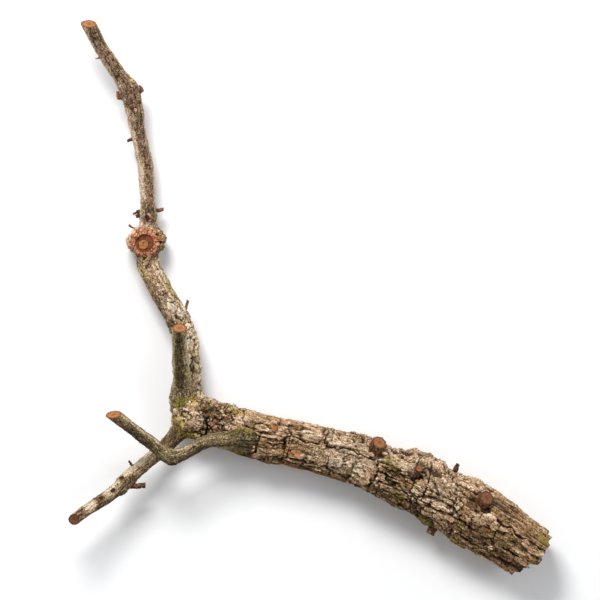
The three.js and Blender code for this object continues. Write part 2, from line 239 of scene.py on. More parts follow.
# Long cracks: (distance and clock angle at each end, width, depth).
CRACKS = {
    "main_limb": [
        ((26, -8), (29, 58), 1.5, 3.4), ((29, -8), (37, -26), 1.0, 2.0),
        ((92, -14), (158, -16), 1.4, 2.6), ((94, 40), (158, 46), 1.2, 2.2),
        ((160, -14), (160, 60), 1.3, 2.6), ((67, 4), (66, 66), 1.7, 3.4),
        ((118, -60), (118, -16), 1.0, 1.8), ((150, -62), (152, -16), 1.1, 2.0),
        ((122, 2), (123, 34), 0.9, 1.4), ((166, 24), (202, 28), 1.1, 2.0),
        ((258, -16), (303, -18), 1.4, 2.8), ((204, 24), (250, 20), 1.2, 2.2),
        ((206, 52), (262, 50), 1.2, 2.4), ((272, 22), (304, 26), 1.3, 2.6),
        ((276, 50), (304, 52), 1.2, 2.4), ((197, -46), (201, 20), 1.1, 2.0),
        ((222, -14), (226, 20), 1.0, 1.6), ((262, -14), (261, 20), 1.0, 1.8),
        ((242, 66), (290, 72), 1.1, 2.0), ((90, -40), (91, 40), 0.9, 1.6),
        ((164, -10), (200, -6), 1.0, 1.8), ((75, 8), (94, 14), 0.9, 1.4),
    ],
    "leader": [
        ((96, -30), (92, 20), 0.6, 0.9), ((88, 4), (85, 50), 0.6, 0.9), ((124, -20), (126, 50), 0.7, 0.9),
        ((62, 20), (64, 60), 0.7, 1.0), ((12, 16), (46, 26), 0.9, 1.3), ((48, 34), (58, 62), 0.8, 1.2),
        ((43, 14), (45, 58), 0.8, 1.2), ((33, 22), (31, 60), 0.8, 1.1), ((76, -10), (72, 30), 0.7, 1.0),
    ],
}

TORN_STRETCH = 26  # the plates are drawn out over this last part of the limb

# How far the plates of the torn butt run past its face, from each clock angle on.
END_BLOCKS = [
    (-180, -3), (-120, -4), (-88, -4), (-64, 1), (-42, 4), (-22, 5), (-4, 7), (16, 2), (36, 0),
    (58, -4), (84, -8),
]


# ---- limb coordinates ----


def from_fork(place):
    """A place that is given from the big fork, in the frame's own terms but in mm."""
    return FORK + np.array(place, float)


def through(points):
    """Close samples of a smooth curve through the points: a centripetal Catmull-Rom curve."""
    steps = np.linspace(0, 1, 60, endpoint=False)[:, None]
    p = np.vstack([2 * points[0] - points[1], points, 2 * points[-1] - points[-2]])
    pieces = []
    for a, b, c, d in zip(p, p[1:], p[2:], p[3:]):
        ab, bc, cd = (math.sqrt(np.linalg.norm(gap)) for gap in (b - a, c - b, d - c))
        leave = ((b - a) / ab - (c - a) / (ab + bc) + (c - b) / bc) * bc
        arrive = ((c - b) / bc - (d - b) / (bc + cd) + (d - c) / cd) * bc
        square = 3 * (c - b) - 2 * leave - arrive
        cube = 2 * (b - c) + leave + arrive
        pieces.append(b + leave * steps + square * steps**2 + cube * steps**3)
    return np.vstack([*pieces, points[-1:]])


def unit(v):
    """Each vector at length 1."""
    return v / np.linalg.norm(v, axis=-1, keepdims=True)


def ease(low, high, x):
    """0 below low, 1 above high, and smooth between."""
    t = np.clip((x - low) / (high - low), 0, 1)
    return t * t * (3 - 2 * t)


class Limb:
    """A limb's centreline, thickness and directions at any distance along it."""

    OVERRUN = 30  # the centreline goes on straight past both ends, for slanted ends

    def __init__(self, points, thickness, facing=None, dome=0):
        line = through(np.array(points, float))
        first, last = unit(line[1] - line[0]), unit(line[-1] - line[-2])
        line = np.vstack([line[0] - first * self.OVERRUN, line, line[-1] + last * self.OVERRUN])
        steps = np.linalg.norm(np.diff(line, axis=0), axis=1)
        self.line = line
        self.at = np.concatenate([[0], np.cumsum(steps)]) - self.OVERRUN
        self.length = self.at[-1] - self.OVERRUN
        self.thickness = np.array(thickness, float)
        self.facing = unit(np.array(facing, float)) if facing is not None else None
        self.dome = dome

    def centre(self, distance):
        return np.stack([np.interp(distance, self.at, self.line[:, k]) for k in range(3)], -1)

    def directions(self, distance):
        """Along the limb, over (as near to straight up as it allows) and aside (to the right)."""
        along = unit(self.centre(distance + 1.5) - self.centre(distance - 1.5))
        over = unit(UP - along * along[..., 2:3])
        return along, over, np.cross(along, over)

    def radius(self, distance):
        """The radius, eased between the stated ones."""
        at, size = self.thickness.T
        after = np.clip(np.searchsorted(at, distance, side="right"), 1, len(at) - 1)
        share = ease(at[after - 1], at[after], distance)
        return size[after - 1] + (size[after] - size[after - 1]) * share


def grown(root, stretches, **rest):
    """A limb that grows from its root, stretch by stretch."""
    points = [np.array(root, float)]
    for run, bearing, height in stretches:
        turn = math.radians(bearing)
        x, y, _ = points[-1]
        points.append(np.array([x + run * math.cos(turn), y + run * math.sin(turn), height]))
    return Limb(points, **rest)


def side_limb(on, at, clock, lean, reach, radius, curl):
    """A side piece as a short limb that starts at the centre of the limb that carries it. Its tip
    curls away over the last quarter of it, and its cut faces a little more upwards than it runs."""
    along, over, aside = (v[0] for v in on.directions(np.array([float(at)])))
    turn = math.radians(clock)
    out = unit(over * math.cos(turn) + aside * math.sin(turn) + along * lean)
    root = on.centre(np.array([float(at)]))[0]
    straight = root + out * reach * 0.72
    tip = root + out * reach + np.array([*curl, 0.0])
    return Limb([root, straight, tip], [(0, radius[0]), (reach, radius[1])], out + UP * 0.15)


limbs = {}
for name, spec in LIMBS.items():
    rest = {key: value for key, value in spec.items() if key not in ("root", "stretches")}
    limbs[name] = grown(from_fork(spec["root"]), spec["stretches"], **rest)


# ---- noise and cracks ----


def scatter(cell, seed):
    """A repeatable number from 0 to 1 for each whole-numbered cell."""
    k = cell.astype(np.int64).astype(np.uint32)
    mixed = k[..., 0] * np.uint32(0x8DA6B343)
    mixed ^= k[..., 1] * np.uint32(0xD8163841)
    mixed ^= k[..., 2] * np.uint32(0xCB1AB31F)
    mixed ^= np.uint32(seed * 0x9E3779B1 & 0xFFFFFFFF)
    for shift, factor in ((15, 0x2C1B3C6D), (12, 0x297A2D39)):
        mixed ^= mixed >> np.uint32(shift)
        mixed *= np.uint32(factor)
    mixed ^= mixed >> np.uint32(15)
    return mixed / 2.0**32


def waver(p, seed):
    """Smooth noise from -1 to 1, about one wave per unit."""
    cell = np.floor(p)
    t = p - cell
    t = t * t * (3 - 2 * t)
    total = 0
    for corner in np.ndindex(2, 2, 2):
        share = np.prod(np.where(corner, t, 1 - t), axis=-1)
        total = total + share * scatter(cell + np.array(corner), seed)
    return 2 * total - 1


def rough(p, seed, octaves=3):
    """Noise with finer and finer waves on it, from about -1 to 1."""
    waves = [waver(p * 2**k + 7.3 * k, seed + k) / 2**k for k in range(octaves)]
    return sum(waves) / (2 - 2 ** (1 - octaves)) * 1.3


def cells(p, seed):
    """Breaks space into plates round scattered centres. Gives how far each point is from the
    nearest crack, its plate's own random number, and its offset from the plate's centre."""
    home = np.floor(p)
    nearest = np.full(len(p), 9.0)
    second = np.full(len(p), 9.0)
    own = np.zeros(len(p))
    offset = np.zeros_like(p)
    for step in np.ndindex(3, 3, 3):
        cell = home + np.array(step) - 1
        centre = cell + 0.1 + 0.8 * np.stack([scatter(cell, seed + k) for k in range(3)], -1)
        away = p - centre
        distance = np.linalg.norm(away, axis=-1)
        closer = distance < nearest
        second = np.where(closer, nearest, np.minimum(second, distance))
        own = np.where(closer, scatter(cell, seed + 3), own)
        offset = np.where(closer[:, None], away, offset)
        nearest = np.where(closer, distance, nearest)
    return second - nearest, own, offset


def terraced(height, step):
    """Steps, as where the thin yearly layers of cork have split one by one."""
    whole = np.floor(height / step)
    return step * (whole + ease(0.1, 0.6, height / step - whole))


def cork_relief(q, seed, plate_size, chip_size, crumb_size, ledge=3.2, layer=0.85, wander=1.0,
                fibre=0.0):
    """Old cork: plates that stand at different heights, split into thin layers, chips and crumbs.
    Fibre is how far it keeps in long strands instead."""
    bend = np.stack([rough(q / 16, seed + 10 * k, 2) for k in (1, 2, 3)], -1) * 4.5
    bend += np.stack([rough(q / 4.5, seed + 7 * k, 2) for k in (4, 5, 6)], -1) * 1.3
    bend *= wander
    gap, plate, offset = cells((q + bend) / plate_size, seed)
    chip_gap, chip, chip_offset = cells((q + bend * 0.6) / chip_size, seed + 20)
    crumb_gap, crumb, _ = cells((q + bend * 0.2) / crumb_size, seed + 40)
    lean = offset @ np.array([0.9, 1.0, -0.8]) * (2 * plate - 1)
    sheets = ledge * (plate - 0.5) + 1.5 * lean + 1.5 * rough((q + bend) / (15, 5, 5), seed + 60, 3)
    height = 0.25 * sheets + 0.75 * terraced(sheets, layer)
    chip_lean = chip_offset @ np.array([-0.7, 0.8, 0.9]) * (2 * chip - 1)
    strand = rough((q + bend * 0.5) / (14, 0.95, 0.95), seed + 80, 3)
    height += 0.9 * (chip - 0.5) + 0.7 * chip_lean + 0.3 * (crumb - 0.5) + 0.5 * strand
    split = (1 - ease(0.01, 0.09, gap)) * ease(-0.35, 0.15, rough(q / 11, seed + 90, 2))
    chip_split = (1 - ease(0.04, 0.22, chip_gap)) * ease(0.25, 0.6, chip)
    hole = ease(0.22, 0.12, crumb) * ease(0.05, 0.3, crumb_gap)
    broken = (1 - 0.6 * fibre) * (0.45 + 0.55 * ease(-0.3, 0.3, rough(q / 8, seed + 95, 2)))
    height -= 2.0 * split + 0.9 * broken * chip_split + 1.1 * broken * hole
    crack = 0.85 * split + broken * (0.7 * chip_split + 0.9 * hole) + 0.35 * ease(0.2, 0.8, -strand)
    return {
        "height": height, "crack": np.clip(crack, 0, 1), "fibre": np.full(len(q), fibre),
        "tone": 0.4 * plate + 0.3 * chip + 0.3 * crumb,
    }


def warty_relief(q, seed):
    """Knobbly bark in the crook of a fork: folds parted by wandering furrows, warts and crumbs."""
    bend = np.stack([rough(q / 7, seed + 10 * k, 2) for k in (1, 2, 3)], -1) * 2
    fold = np.abs(rough((q + bend) / (10, 7, 7), seed + 60, 2))
    wart_gap, wart, _ = cells((q + bend) / (6.5, 5.5, 5.5), seed)
    bead_gap, bead, _ = cells((q + bend * 0.5) / (2.9, 2.0, 2.0), seed + 20)
    crumb_gap, crumb, _ = cells(q / (1.5, 1.2, 1.2), seed + 40)
    beaded = ease(-0.15, 0.35, rough(q / 8, seed + 70, 2))
    height = 1.1 * ease(0, 0.5, wart_gap) * (0.4 + wart)
    height += 1.1 * beaded * ease(0, 0.4, bead_gap) * (0.2 + bead)
    height += 1.2 * ease(0, 0.35, fold) + 1.1 * rough(q / 12, seed + 50, 2) + 0.5 * (crumb - 0.5)
    hole = ease(0.2, 0.08, crumb) * ease(0.05, 0.3, crumb_gap) * (0.3 + 0.7 * beaded)
    height -= 1.1 * hole
    crack = 0.9 * ease(0.1, 0.02, fold) + 0.5 * (1 - ease(0, 0.12, wart_gap)) + 0.85 * hole
    crack += 0.75 * beaded * (1 - ease(0, 0.24, bead_gap))
    tone = 0.5 * wart + 0.85 * beaded * bead + 0.6 * crumb - 0.3
    crack = np.clip(crack, 0, 1)
    return {"height": height - 1.6, "crack": crack, "fibre": 0.35 * (1 - beaded), "tone": tone}


def young_relief(q, seed, flaky=1.0):
    """Young bark: fine wrinkles along the limb, corky pores, and where it is flaky shallow flakes."""
    bend = np.stack([rough(q / 6, seed + 10 * k, 2) for k in (1, 2, 3)], -1) * 1.6
    flake_gap, flake, _ = cells((q + bend) / (5, 2.8, 2.8), seed)
    _, pore, pore_offset = cells(q / (2.3, 1.8, 1.8), seed + 20)
    wrinkle = rough((q + bend * 0.3) / (16, 0.95, 0.95), seed + 40, 2)
    present = flaky * ease(-0.3, 0.25, rough(q / 13, seed + 60, 2))
    flake_crack = (1 - ease(0.02, 0.2, flake_gap)) * present
    raised = (flake > 0.5) * ease(0, 0.16, flake_gap) * present
    from_pore = np.linalg.norm(pore_offset, axis=-1)
    bead = ease(0.45, 0.1, from_pore) * (pore > 0.6)
    hole = ease(0.17, 0.04, pore) * ease(0.4, 0.1, from_pore)
    height = 0.6 * rough(q / 8, seed + 50, 2) + 0.18 * wrinkle + 0.55 * raised
    height += 0.3 * bead - 0.55 * flake_crack - 0.45 * hole + 0.22 * rough(q / 1.3, seed + 70, 2)
    crack = np.clip(0.85 * flake_crack + 0.7 * hole + 0.25 * ease(0.35, 0.9, -wrinkle), 0, 1)
    tone = 0.8 * (flake - 0.5) * present + 0.2 * pore + 0.42 + 0.2 * wrinkle
    return {"height": height - 0.1, "crack": crack, "fibre": 1 - 0.7 * present, "tone": tone}


def blended(first, second, share):
    """One relief that passes into another as the share goes from 0 to 1."""
    return {key: first[key] * (1 - share) + second[key] * share for key in first}


# ---- what is on a limb at named places ----

# The masks that the skin keeps: what the weather did, and in crack, tone and dark also painted shade and
# painted highlight.
WEATHER_AND_PAINTED_LIGHT = ("crack", "tone", "fibre", "moss", "lichen", "raw", "pale", "dark", "knot")
GOLDEN = 0.618  # steps of this share are spread evenly, so neighbours in a row differ


def unmarked(bark):
    """A relief with all that the weather and the painted light and shade can do to it, none of it done yet.
    """
    blank = np.zeros(len(bark["height"]))
    return {**{what: blank for what in WEATHER_AND_PAINTED_LIGHT}, **bark}


def unrolled(limb, distance, around, at, clock):
    """How far each point is from a place on the limb, along it and round it, in mm."""
    turn = (around - math.radians(clock) + math.pi) % (2 * math.pi) - math.pi
    return distance - at, turn * limb.radius(distance)


def most_of(bark, what, amount):
    """Brings one effect of the weather up to an amount, where it is less."""
    bark[what] = np.maximum(bark[what], amount)


def mark_spots(limb, spots, distance, around, q, seed, bark):
    """Raises, sinks and stains the bark at each named spot, with ragged edges, and paints shade into its
    pits.
    """
    ragged = 0.35 * rough(q / 3.5, seed + 5, 2)
    notched = 0.16 * rough(q / 5, seed + 15, 2) + 0.07 * rough(q / 1.6, seed + 16, 2)
    for number, (what, at, clock, long, wide, height) in enumerate(spots):
        x, y = unrolled(limb, distance, around, at, clock)
        if what in ("plate", "block"):
            squarish = ((x / long) ** 4 + (y / wide) ** 4) ** 0.25 + notched
            layers = ease(1.16, 1.1, squarish) + ease(1.08, 1.03, squarish) + ease(1.0, 0.94, squarish)
            moat = np.abs(squarish - 1.2)
            bark["height"] = bark["height"] + height * layers / 3 - 0.9 * ease(0.1, 0.0, moat)
            most_of(bark, "crack", 0.75 * ease(0.1, 0.02, moat))
            if what == "plate":
                most_of(bark, "pale", 0.35 * ease(1.15, 1.0, squarish))
                most_of(bark, "raw", 0.55 * ease(0.1, 0.0, np.abs(squarish - 1.1)))
            own_tone = 0.16 * (number * GOLDEN % 1 - 0.5)
            bark["tone"] = bark["tone"] + own_tone * ease(1.15, 1.0, squarish)
            continue
        rim = np.hypot(x / long, y / wide)
        inside = ease(1.3, 0.6, rim + ragged)
        if what == "fibre":
            ridges = 1 - 2.4 * np.abs(rough(q / (90, 4.0, 4.0), seed + 8, 2))
            fibres = 0.6 * rough(q / (30, 1.0, 1.0), seed + 6, 2) + 1.3 * ridges
            bark["height"] = bark["height"] * (1 - 0.7 * inside) + inside * (fibres + height)
            bark["crack"] = bark["crack"] * (1 - 0.7 * inside) + 0.7 * inside * ease(0.1, -0.9, fibres)
            most_of(bark, "fibre", inside)
            continue
        raised = height * inside
        if what == "moss":
            raised = raised + inside * 0.5 * np.abs(rough(q / 1.1, seed + 9, 2))
        if what == "lichen":
            raised = raised + inside * 0.35 * rough(q / 1.5, seed + 12, 1)
        if what == "knot":
            raised = raised - height * 1.6 * ease(0.7, 0.2, rim)
        if what == "scar":
            ring = np.abs(rim - 0.85)
            most_of(bark, "knot", ease(0.22, 0.05, ring))
            most_of(bark, "raw", 0.5 * ease(0.7, 0.5, rim))
            raised = raised - 0.8 * ease(0.2, 0.05, ring)
        # A pit is painted shade: its hollow gets the crack and dark masks, standing in for the shadow in it
        # and under the stub beside it.
        if what == "shaded_pit":
            most_of(bark, "crack", 0.8 * inside)
            most_of(bark, "dark", inside)
        if what in bark:
            most_of(bark, what, inside)
        bark["height"] = bark["height"] + raised


def cut_cracks(limb, cracks, distance, around, q, seed, bark):
    """Opens each named crack, which wanders between its ends and narrows here and there."""
    wander = np.stack([rough(q / 6, seed + k, 3) for k in (3, 4)], -1) * 2.6
    narrow = 0.75 + 0.45 * rough(q / 5, seed + 2, 2)
    for (at, clock), (end_at, end_clock), width, depth in cracks:
        x, y = unrolled(limb, distance, around, at, clock)
        x, y = x + wander[:, 0], y + wander[:, 1]
        run = end_at - at
        rise = math.radians(end_clock - clock) * limb.radius(np.array([(at + end_at) / 2]))[0]
        share = np.clip((x * run + y * rise) / (run**2 + rise**2), 0, 1)
        away = np.hypot(x - share * run, y - share * rise)
        opened = ease(1.25, 0.3, away / (width * narrow))
        bark["height"] = bark["height"] - depth * opened
        most_of(bark, "crack", opened)


SOFTENINGS = 18  # rounds of averaging, which blur away whatever is narrower than about 3 mm


def paint_cavity_light_and_shade(bark, rings, sides):
    """Paints a highlight on what stands proud of the bark round it and paints shade into the hollows."""
    height = bark["height"].reshape(rings, sides)
    soft = height
    for _ in range(SOFTENINGS):
        ends = np.vstack([soft[:1], soft, soft[-1:]])
        soft = (soft + np.roll(soft, 1, 1) + np.roll(soft, -1, 1) + ends[:-2] + ends[2:]) / 5
    proud = (height - soft).ravel()
    # Painted highlight: bark that stands proud of its surroundings is made lighter in tone.
    bark["tone"] = np.clip(bark["tone"] + 0.25 * proud, 0, 1.2)
    # Painted shade: the hollows get the dark crack colour.
    most_of(bark, "crack", 0.9 * ease(-0.3, -1.4, proud))


# ---- skins ----


def make_mesh(name, points, faces, face_slots, attributes):
    """A smooth-shaded object from points in millimetres."""
    mesh = bpy.data.meshes.new(name)
    mesh.from_pydata((points * MM).tolist(), [], [list(map(int, f)) for f in faces])
    mesh.polygons.foreach_set("use_smooth", np.ones(len(faces), bool))
    mesh.polygons.foreach_set("material_index", np.array(face_slots, np.int32))
    for key, values in attributes.items():
        values = np.asarray(values, np.float32)
        kind, field = ("FLOAT_VECTOR", "vector") if values.ndim == 2 else ("FLOAT", "value")
        mesh.attributes.new(key, kind, "POINT").data.foreach_set(field, values.ravel())
    mesh.update()
    made = bpy.data.objects.new(name, mesh)
    bpy.context.scene.collection.objects.link(made)
    return made


def tube_object(name, tube, first=0, last=None):
    """The part of a tube from its first ring to its last. An end that is not the tube's own is
    closed with a flat fan on points of its own, so that it does not bend the bark's shading."""
    sides, rings = tube["sides"], tube["rings"]
    last = rings - 1 if last is None else last
    faces = tube_faces(last - first + 1, sides)
    count = (last - first + 1) * sides
    walls = (last - first) * sides
    values = {}
    for key, all_values in tube["values"].items():
        rows = all_values[first * sides:(last + 1) * sides]
        start, end = all_values[-2:-1], all_values[-1:]
        if first > 0:
            start = rows[:sides].mean(axis=0, keepdims=True)
        if last < rings - 1:
            end = rows[-sides:].mean(axis=0, keepdims=True)
        values[key] = np.concatenate([rows, start, end, rows[:sides], rows[-sides:]])
    near, far = count + 2, count + 2 + sides
    side = np.arange(sides)
    after = (side + 1) % sides
    if first > 0:
        faces[walls:walls + sides] = [(count, near + b, near + a) for a, b in zip(side, after)]
    if last < rings - 1:
        faces[walls + sides:] = [(count + 1, far + a, far + b) for a, b in zip(side, after)]
    slots = np.zeros(len(faces), int)
    if last == rings - 1:
        slots[(tube["bark_rings"] - 1 - first) * sides:walls] = 1
        slots[walls + sides:] = 1
    used = np.unique(np.concatenate([np.array(f) for f in faces[walls:]] + [np.arange(count + 2)]))
    place = np.full(len(values["place"]), -1)
    place[used] = np.arange(len(used))
    faces = [place[np.array(f)] for f in faces]
    values = {key: v[used] for key, v in values.items()}
    return make_mesh(name, values.pop("place"), faces, slots, values)


def tube_faces(rings, sides):
    """Quads between rings of points, and a fan to a last point at each end."""
    a = np.arange((rings - 1) * sides).reshape(rings - 1, sides)
    b = np.roll(a, -1, axis=1)
    walls = np.stack([a, b, b + sides, a + sides], -1).reshape(-1, 4)
    edge = np.arange(sides)
    top = (rings - 1) * sides
    start = [(rings * sides, (k + 1) % sides, k) for k in edge]
    end = [(rings * sides + 1, top + k, top + (k + 1) % sides) for k in edge]
    return list(walls) + start + end


NEAR_ROOT = 60  # how much of another limb, from its root on, can swell its neighbours


def fillet(points, normals, others):
    """Swells a skin where it meets other limbs, as wood does in the crook of a fork."""
    swell = np.zeros(len(points))
    for other, size in others:
        at = np.arange(0, min(other.length, NEAR_ROOT), 1.5)
        line = other.centre(at)
        close = np.flatnonzero(np.linalg.norm(points - line[0], axis=1) < NEAR_ROOT + 15)
        away = np.linalg.norm(points[close, None] - line[None], axis=2)
        clear = np.abs((away - other.radius(at)[None]).min(axis=1))
        swell[close] = np.maximum(swell[close], size / 4 * np.clip(1 - clear / size, 0, 1) ** 2)
    return points + normals * swell[:, None]


def limb_tube(limb, relief, pitch, seed, spots=(), cracks=(), others=(), torn=0.0, face_rings=12):
    """A limb's skin from its root to its end face. Pitch is the grid's spacing in mm, relief
    gives the bark from limb coordinates, and torn is 1 for a broken end, where the bark's plates
    run past the wood."""
    sides = int(2 * math.pi * limb.radius(limb.length * 0.5) / pitch)
    theta = np.arange(sides) * 2 * math.pi / sides
    tops = np.linspace(limb.dome, limb.length, int((limb.length - limb.dome) / pitch))
    rounding = np.ones(len(tops))
    if limb.dome:
        phi = np.linspace(0.06, math.pi / 2, int(1.6 * limb.radius(limb.dome) / pitch), endpoint=False)
        tops = np.concatenate([limb.dome * (1 - np.cos(phi)), tops])
        rounding = np.concatenate([np.sin(phi), rounding])
    rings = len(tops)
    around = np.tile(theta, (rings, 1))
    distance = np.repeat(tops[:, None], sides, axis=1)
    if limb.facing is not None:
        distance = distance + slant(limb, theta, tops)
    if torn:
        ragged = 0.7 * waver(np.stack([np.cos(theta), np.sin(theta), 0 * theta], -1) * 4, seed + 1)
        ragged += torn_blocks(theta)
        distance += ragged * ease(limb.length - TORN_STRETCH, limb.length, tops)[:, None]
    _, over, aside = limb.directions(distance)
    reach = limb.radius(distance) * rounding[:, None]
    way = over * np.cos(around)[..., None] + aside * np.sin(around)[..., None]
    points = limb.centre(distance) + way * reach[..., None]
    forward = np.gradient(points, axis=0)
    sideways = np.roll(points, -1, axis=1) - np.roll(points, 1, axis=1)
    normals = unit(np.cross(sideways, forward)).reshape(-1, 3)
    q = np.stack([distance, reach * np.cos(around), reach * np.sin(around)], -1).reshape(-1, 3)
    flat_distance, flat_around = distance.ravel(), around.ravel()
    bark = unmarked(relief(q, flat_distance, seed))
    mark_spots(limb, spots, flat_distance, flat_around, q, seed, bark)
    cut_cracks(limb, cracks, flat_distance, flat_around, q, seed, bark)
    # Painted highlight on what stands proud and painted shade in the hollows.
    paint_cavity_light_and_shade(bark, rings, sides)
    points = fillet(points.reshape(-1, 3), normals, others)
    points = points + normals * bark["height"][:, None]
    points, q, bark, ring_share = close_end(limb, points, q, bark, sides, face_rings, torn, seed)
    points[:, 2] = np.maximum(np.minimum(points[:, 2], knot_roof(points)), GROUND)
    return {
        "sides": sides, "rings": rings + face_rings, "bark_rings": rings, "tops": tops,
        "values": {"place": points, "grain": q, "ring": ring_share, **bark},
    }


def limb_skin(name, *limb_and_look, **rest):
    """A limb's whole skin as one object."""
    return tube_object(name, limb_tube(*limb_and_look, **rest))


def from_knot(points):
    """How far points are from the healed knot's middle, on plan."""
    return np.linalg.norm(points[:, :2] - from_fork((*KNOT["at"], 0))[:2], axis=1)


def knot_roof(points):
    """How high a skin may stand: under the healed knot it stays below the knot's face."""
    return np.where(from_knot(points) < KNOT["lip"] - 1, BURL["face"] - 6, np.inf)


def slant(limb, theta, tops):
    """How much further each side of the limb runs so that its end lies on the cut's plane."""
    along, over, aside = (v[0] for v in limb.directions(np.array([limb.length])))
    radius = limb.radius(limb.length)
    across = (over[None] * np.cos(theta)[:, None] + aside[None] * np.sin(theta)[:, None]) * radius
    run = -(across @ limb.facing) / (along @ limb.facing)
    reach = 1.3 * np.abs(run).max() + 3
    return run[None] * np.clip((tops - limb.length + reach) / reach, 0, 1)[:, None]


def torn_blocks(theta):
    """How far each long plate of bark runs past the torn end, in steps from plate to plate."""
    clock = (np.degrees(theta) + 180) % 360 - 180
    extra = np.zeros(len(theta)) + END_BLOCKS[0][1]
    for (_, before), (start, after) in zip(END_BLOCKS, END_BLOCKS[1:]):
        extra += (after - before) * ease(start - 2.5, start + 2.5, clock)
    return extra


def close_end(limb, points, q, bark, sides, face_rings, torn, seed):
    """Adds the end face: rings that shrink to the pith, faintly ridged by the growth rings."""
    rim, rim_q = points[-sides:], q[-sides:]
    middle, middle_q = rim.mean(axis=0), rim_q.mean(axis=0)
    outward = unit(limb.centre(np.array([limb.length + 1.0])) - limb.centre(np.array([limb.length])))[0]
    if limb.facing is not None:
        outward = limb.facing
    shares = 1 - np.arange(1, face_rings + 1) / (face_rings + 0.6)
    face = [middle + (rim - middle) * share for share in shares]
    face_q = [middle_q + (rim_q - middle_q) * share for share in shares]
    face, face_q = np.vstack(face), np.vstack(face_q)
    share = np.repeat(shares, sides)
    sawn = 0.3 * rough(face_q / (1, 0.5, 3), seed + 30, 2) + 0.25 * rough(face_q / 1.1, seed + 32, 2)
    sawn += 0.08 * np.sin(share * limb.radius(limb.length) * 5)
    sunk = torn * (0.8 * ease(0.95, 0.75, share) + 0.5 * rough(face_q / 3, seed + 31, 3))
    face = face + outward * (sawn - sunk)[:, None]
    root = points[:sides].mean(axis=0)
    points = np.vstack([points, face, root, middle - outward * torn * 0.8])
    q = np.vstack([q, face_q, q[:sides].mean(axis=0), middle_q])
    ring_share = np.concatenate([np.ones(len(bark["height"])), share, [1.0, 0.0]])
    bark = {key: np.concatenate([
        values, np.tile(values[-sides:], face_rings), values[:1], values[-1:],
    ]) for key, values in bark.items()}
    return points, q, bark, ring_share


# ---- looks ----

PINKISH = "#b08468"  # the pinkish brown of weathered inner cork
ALGAE = "#6a5d33"  # the thin green film on damp bark
BLEACHED = "#dcc5aa"  # plates that sun and rain have bleached
LICHEN = "#c6b04b"
MOSS = "#94882a"
INNER_BARK = "#b06c3c"  # the orange layer under a broken plate
SCAR = "#4a2a1a"  # bud scars and dead knots
PALE_CALLUS = "#e2b593"  # the thin dry edges of the lip round a healed cut
FINE_MM = 1.05  # the grit of cork is finer, but this is as fine as can still be seen
BLOTCH_MM = 3.2  # stains the size of a flake
CLOUD_MM = 11  # stains the size of a plate
WOBBLE_MM = 2.2222  # the waves of a growth ring
WORN_MM = 1.4286  # grime and wear on a sawn face
RING_TURN = 30  # how many radians of rings there are on a sawn face if each ring is 1 mm wide
PORE_MM = 0.9091  # the pores of callus
FOLD_MM = 2  # the folds of callus
DARKEN = -1.06  # brings the sum of the patterns back to the middle of a material's tones


def linear(hex_colour):
    """An sRGB hex colour as linear red, green, blue and alpha."""
    parts = [int(hex_colour[k:k + 2], 16) / 255 for k in (1, 3, 5)]
    return tuple(c / 12.92 if c <= 0.04045 else ((c + 0.055) / 1.055) ** 2.4 for c in parts) + (1.0,)


def node(tree, kind, links=None, stops=None, **settings):
    """Adds a shader node with its settings. Links gives an input a value, a socket, or another
    node, which stands for that node's first output. Stops are a colour ramp's."""
    made = tree.nodes.new("ShaderNode" + kind)
    for key, value in settings.items():
        setattr(made, key, value)
    for key, value in (links or {}).items():
        if isinstance(value, bpy.types.Node):
            value = value.outputs[0]
        if isinstance(value, bpy.types.NodeSocket):
            tree.links.new(value, made.inputs[key])
        else:
            made.inputs[key].default_value = value
    if stops:
        ramp = made.color_ramp.elements
        while len(ramp) < len(stops):
            ramp.new(0.5)
        for element, (place, colour) in zip(ramp, stops):
            element.position = place
            element.color = linear(colour)
    return made


def new_material(name):
    """A material with no nodes yet, and its node tree."""
    material = bpy.data.materials.new(name)
    material.use_nodes = True
    tree = material.node_tree
    tree.nodes.clear()
    return material, tree


def stained(tree, colour, stains):
    """Lays stains over a colour. Each gives its own colour, what it follows and how closely, what
    breaks it up, where it begins and is full, and how much it hides there."""
    for stain, mask, weight, broken_by, low, high, most in stains:
        follow = node(tree, "Math", {0: mask, 1: weight, 2: broken_by}, operation="MULTIPLY_ADD")
        share = node(tree, "MapRange", {0: follow, 1: low, 2: high, 3: 0.0, 4: most})
        colour = node(tree, "MixRGB", {"Fac": share, "Color1": colour, "Color2": linear(stain)})
    return colour


def surface(tree, colour, raised, strength, depth, worn, shine, matt, ior, gloss):
    """Ends a material. Its fine relief follows raised, to a depth in mm; its roughness goes from
    shine to matt as the worn pattern does."""
    bump = node(tree, "Bump", {"Height": raised, "Strength": strength, "Distance": depth * MM})
    dull = node(tree, "MapRange", {0: worn, 1: 0.3, 2: 0.7, 3: shine, 4: matt})
    shader = node(tree, "BsdfPrincipled", {
        "Base Color": colour, "Roughness": dull, "Normal": bump, "IOR": ior, "Specular IOR Level": gloss,
    })
    node(tree, "OutputMaterial", {"Surface": shader})


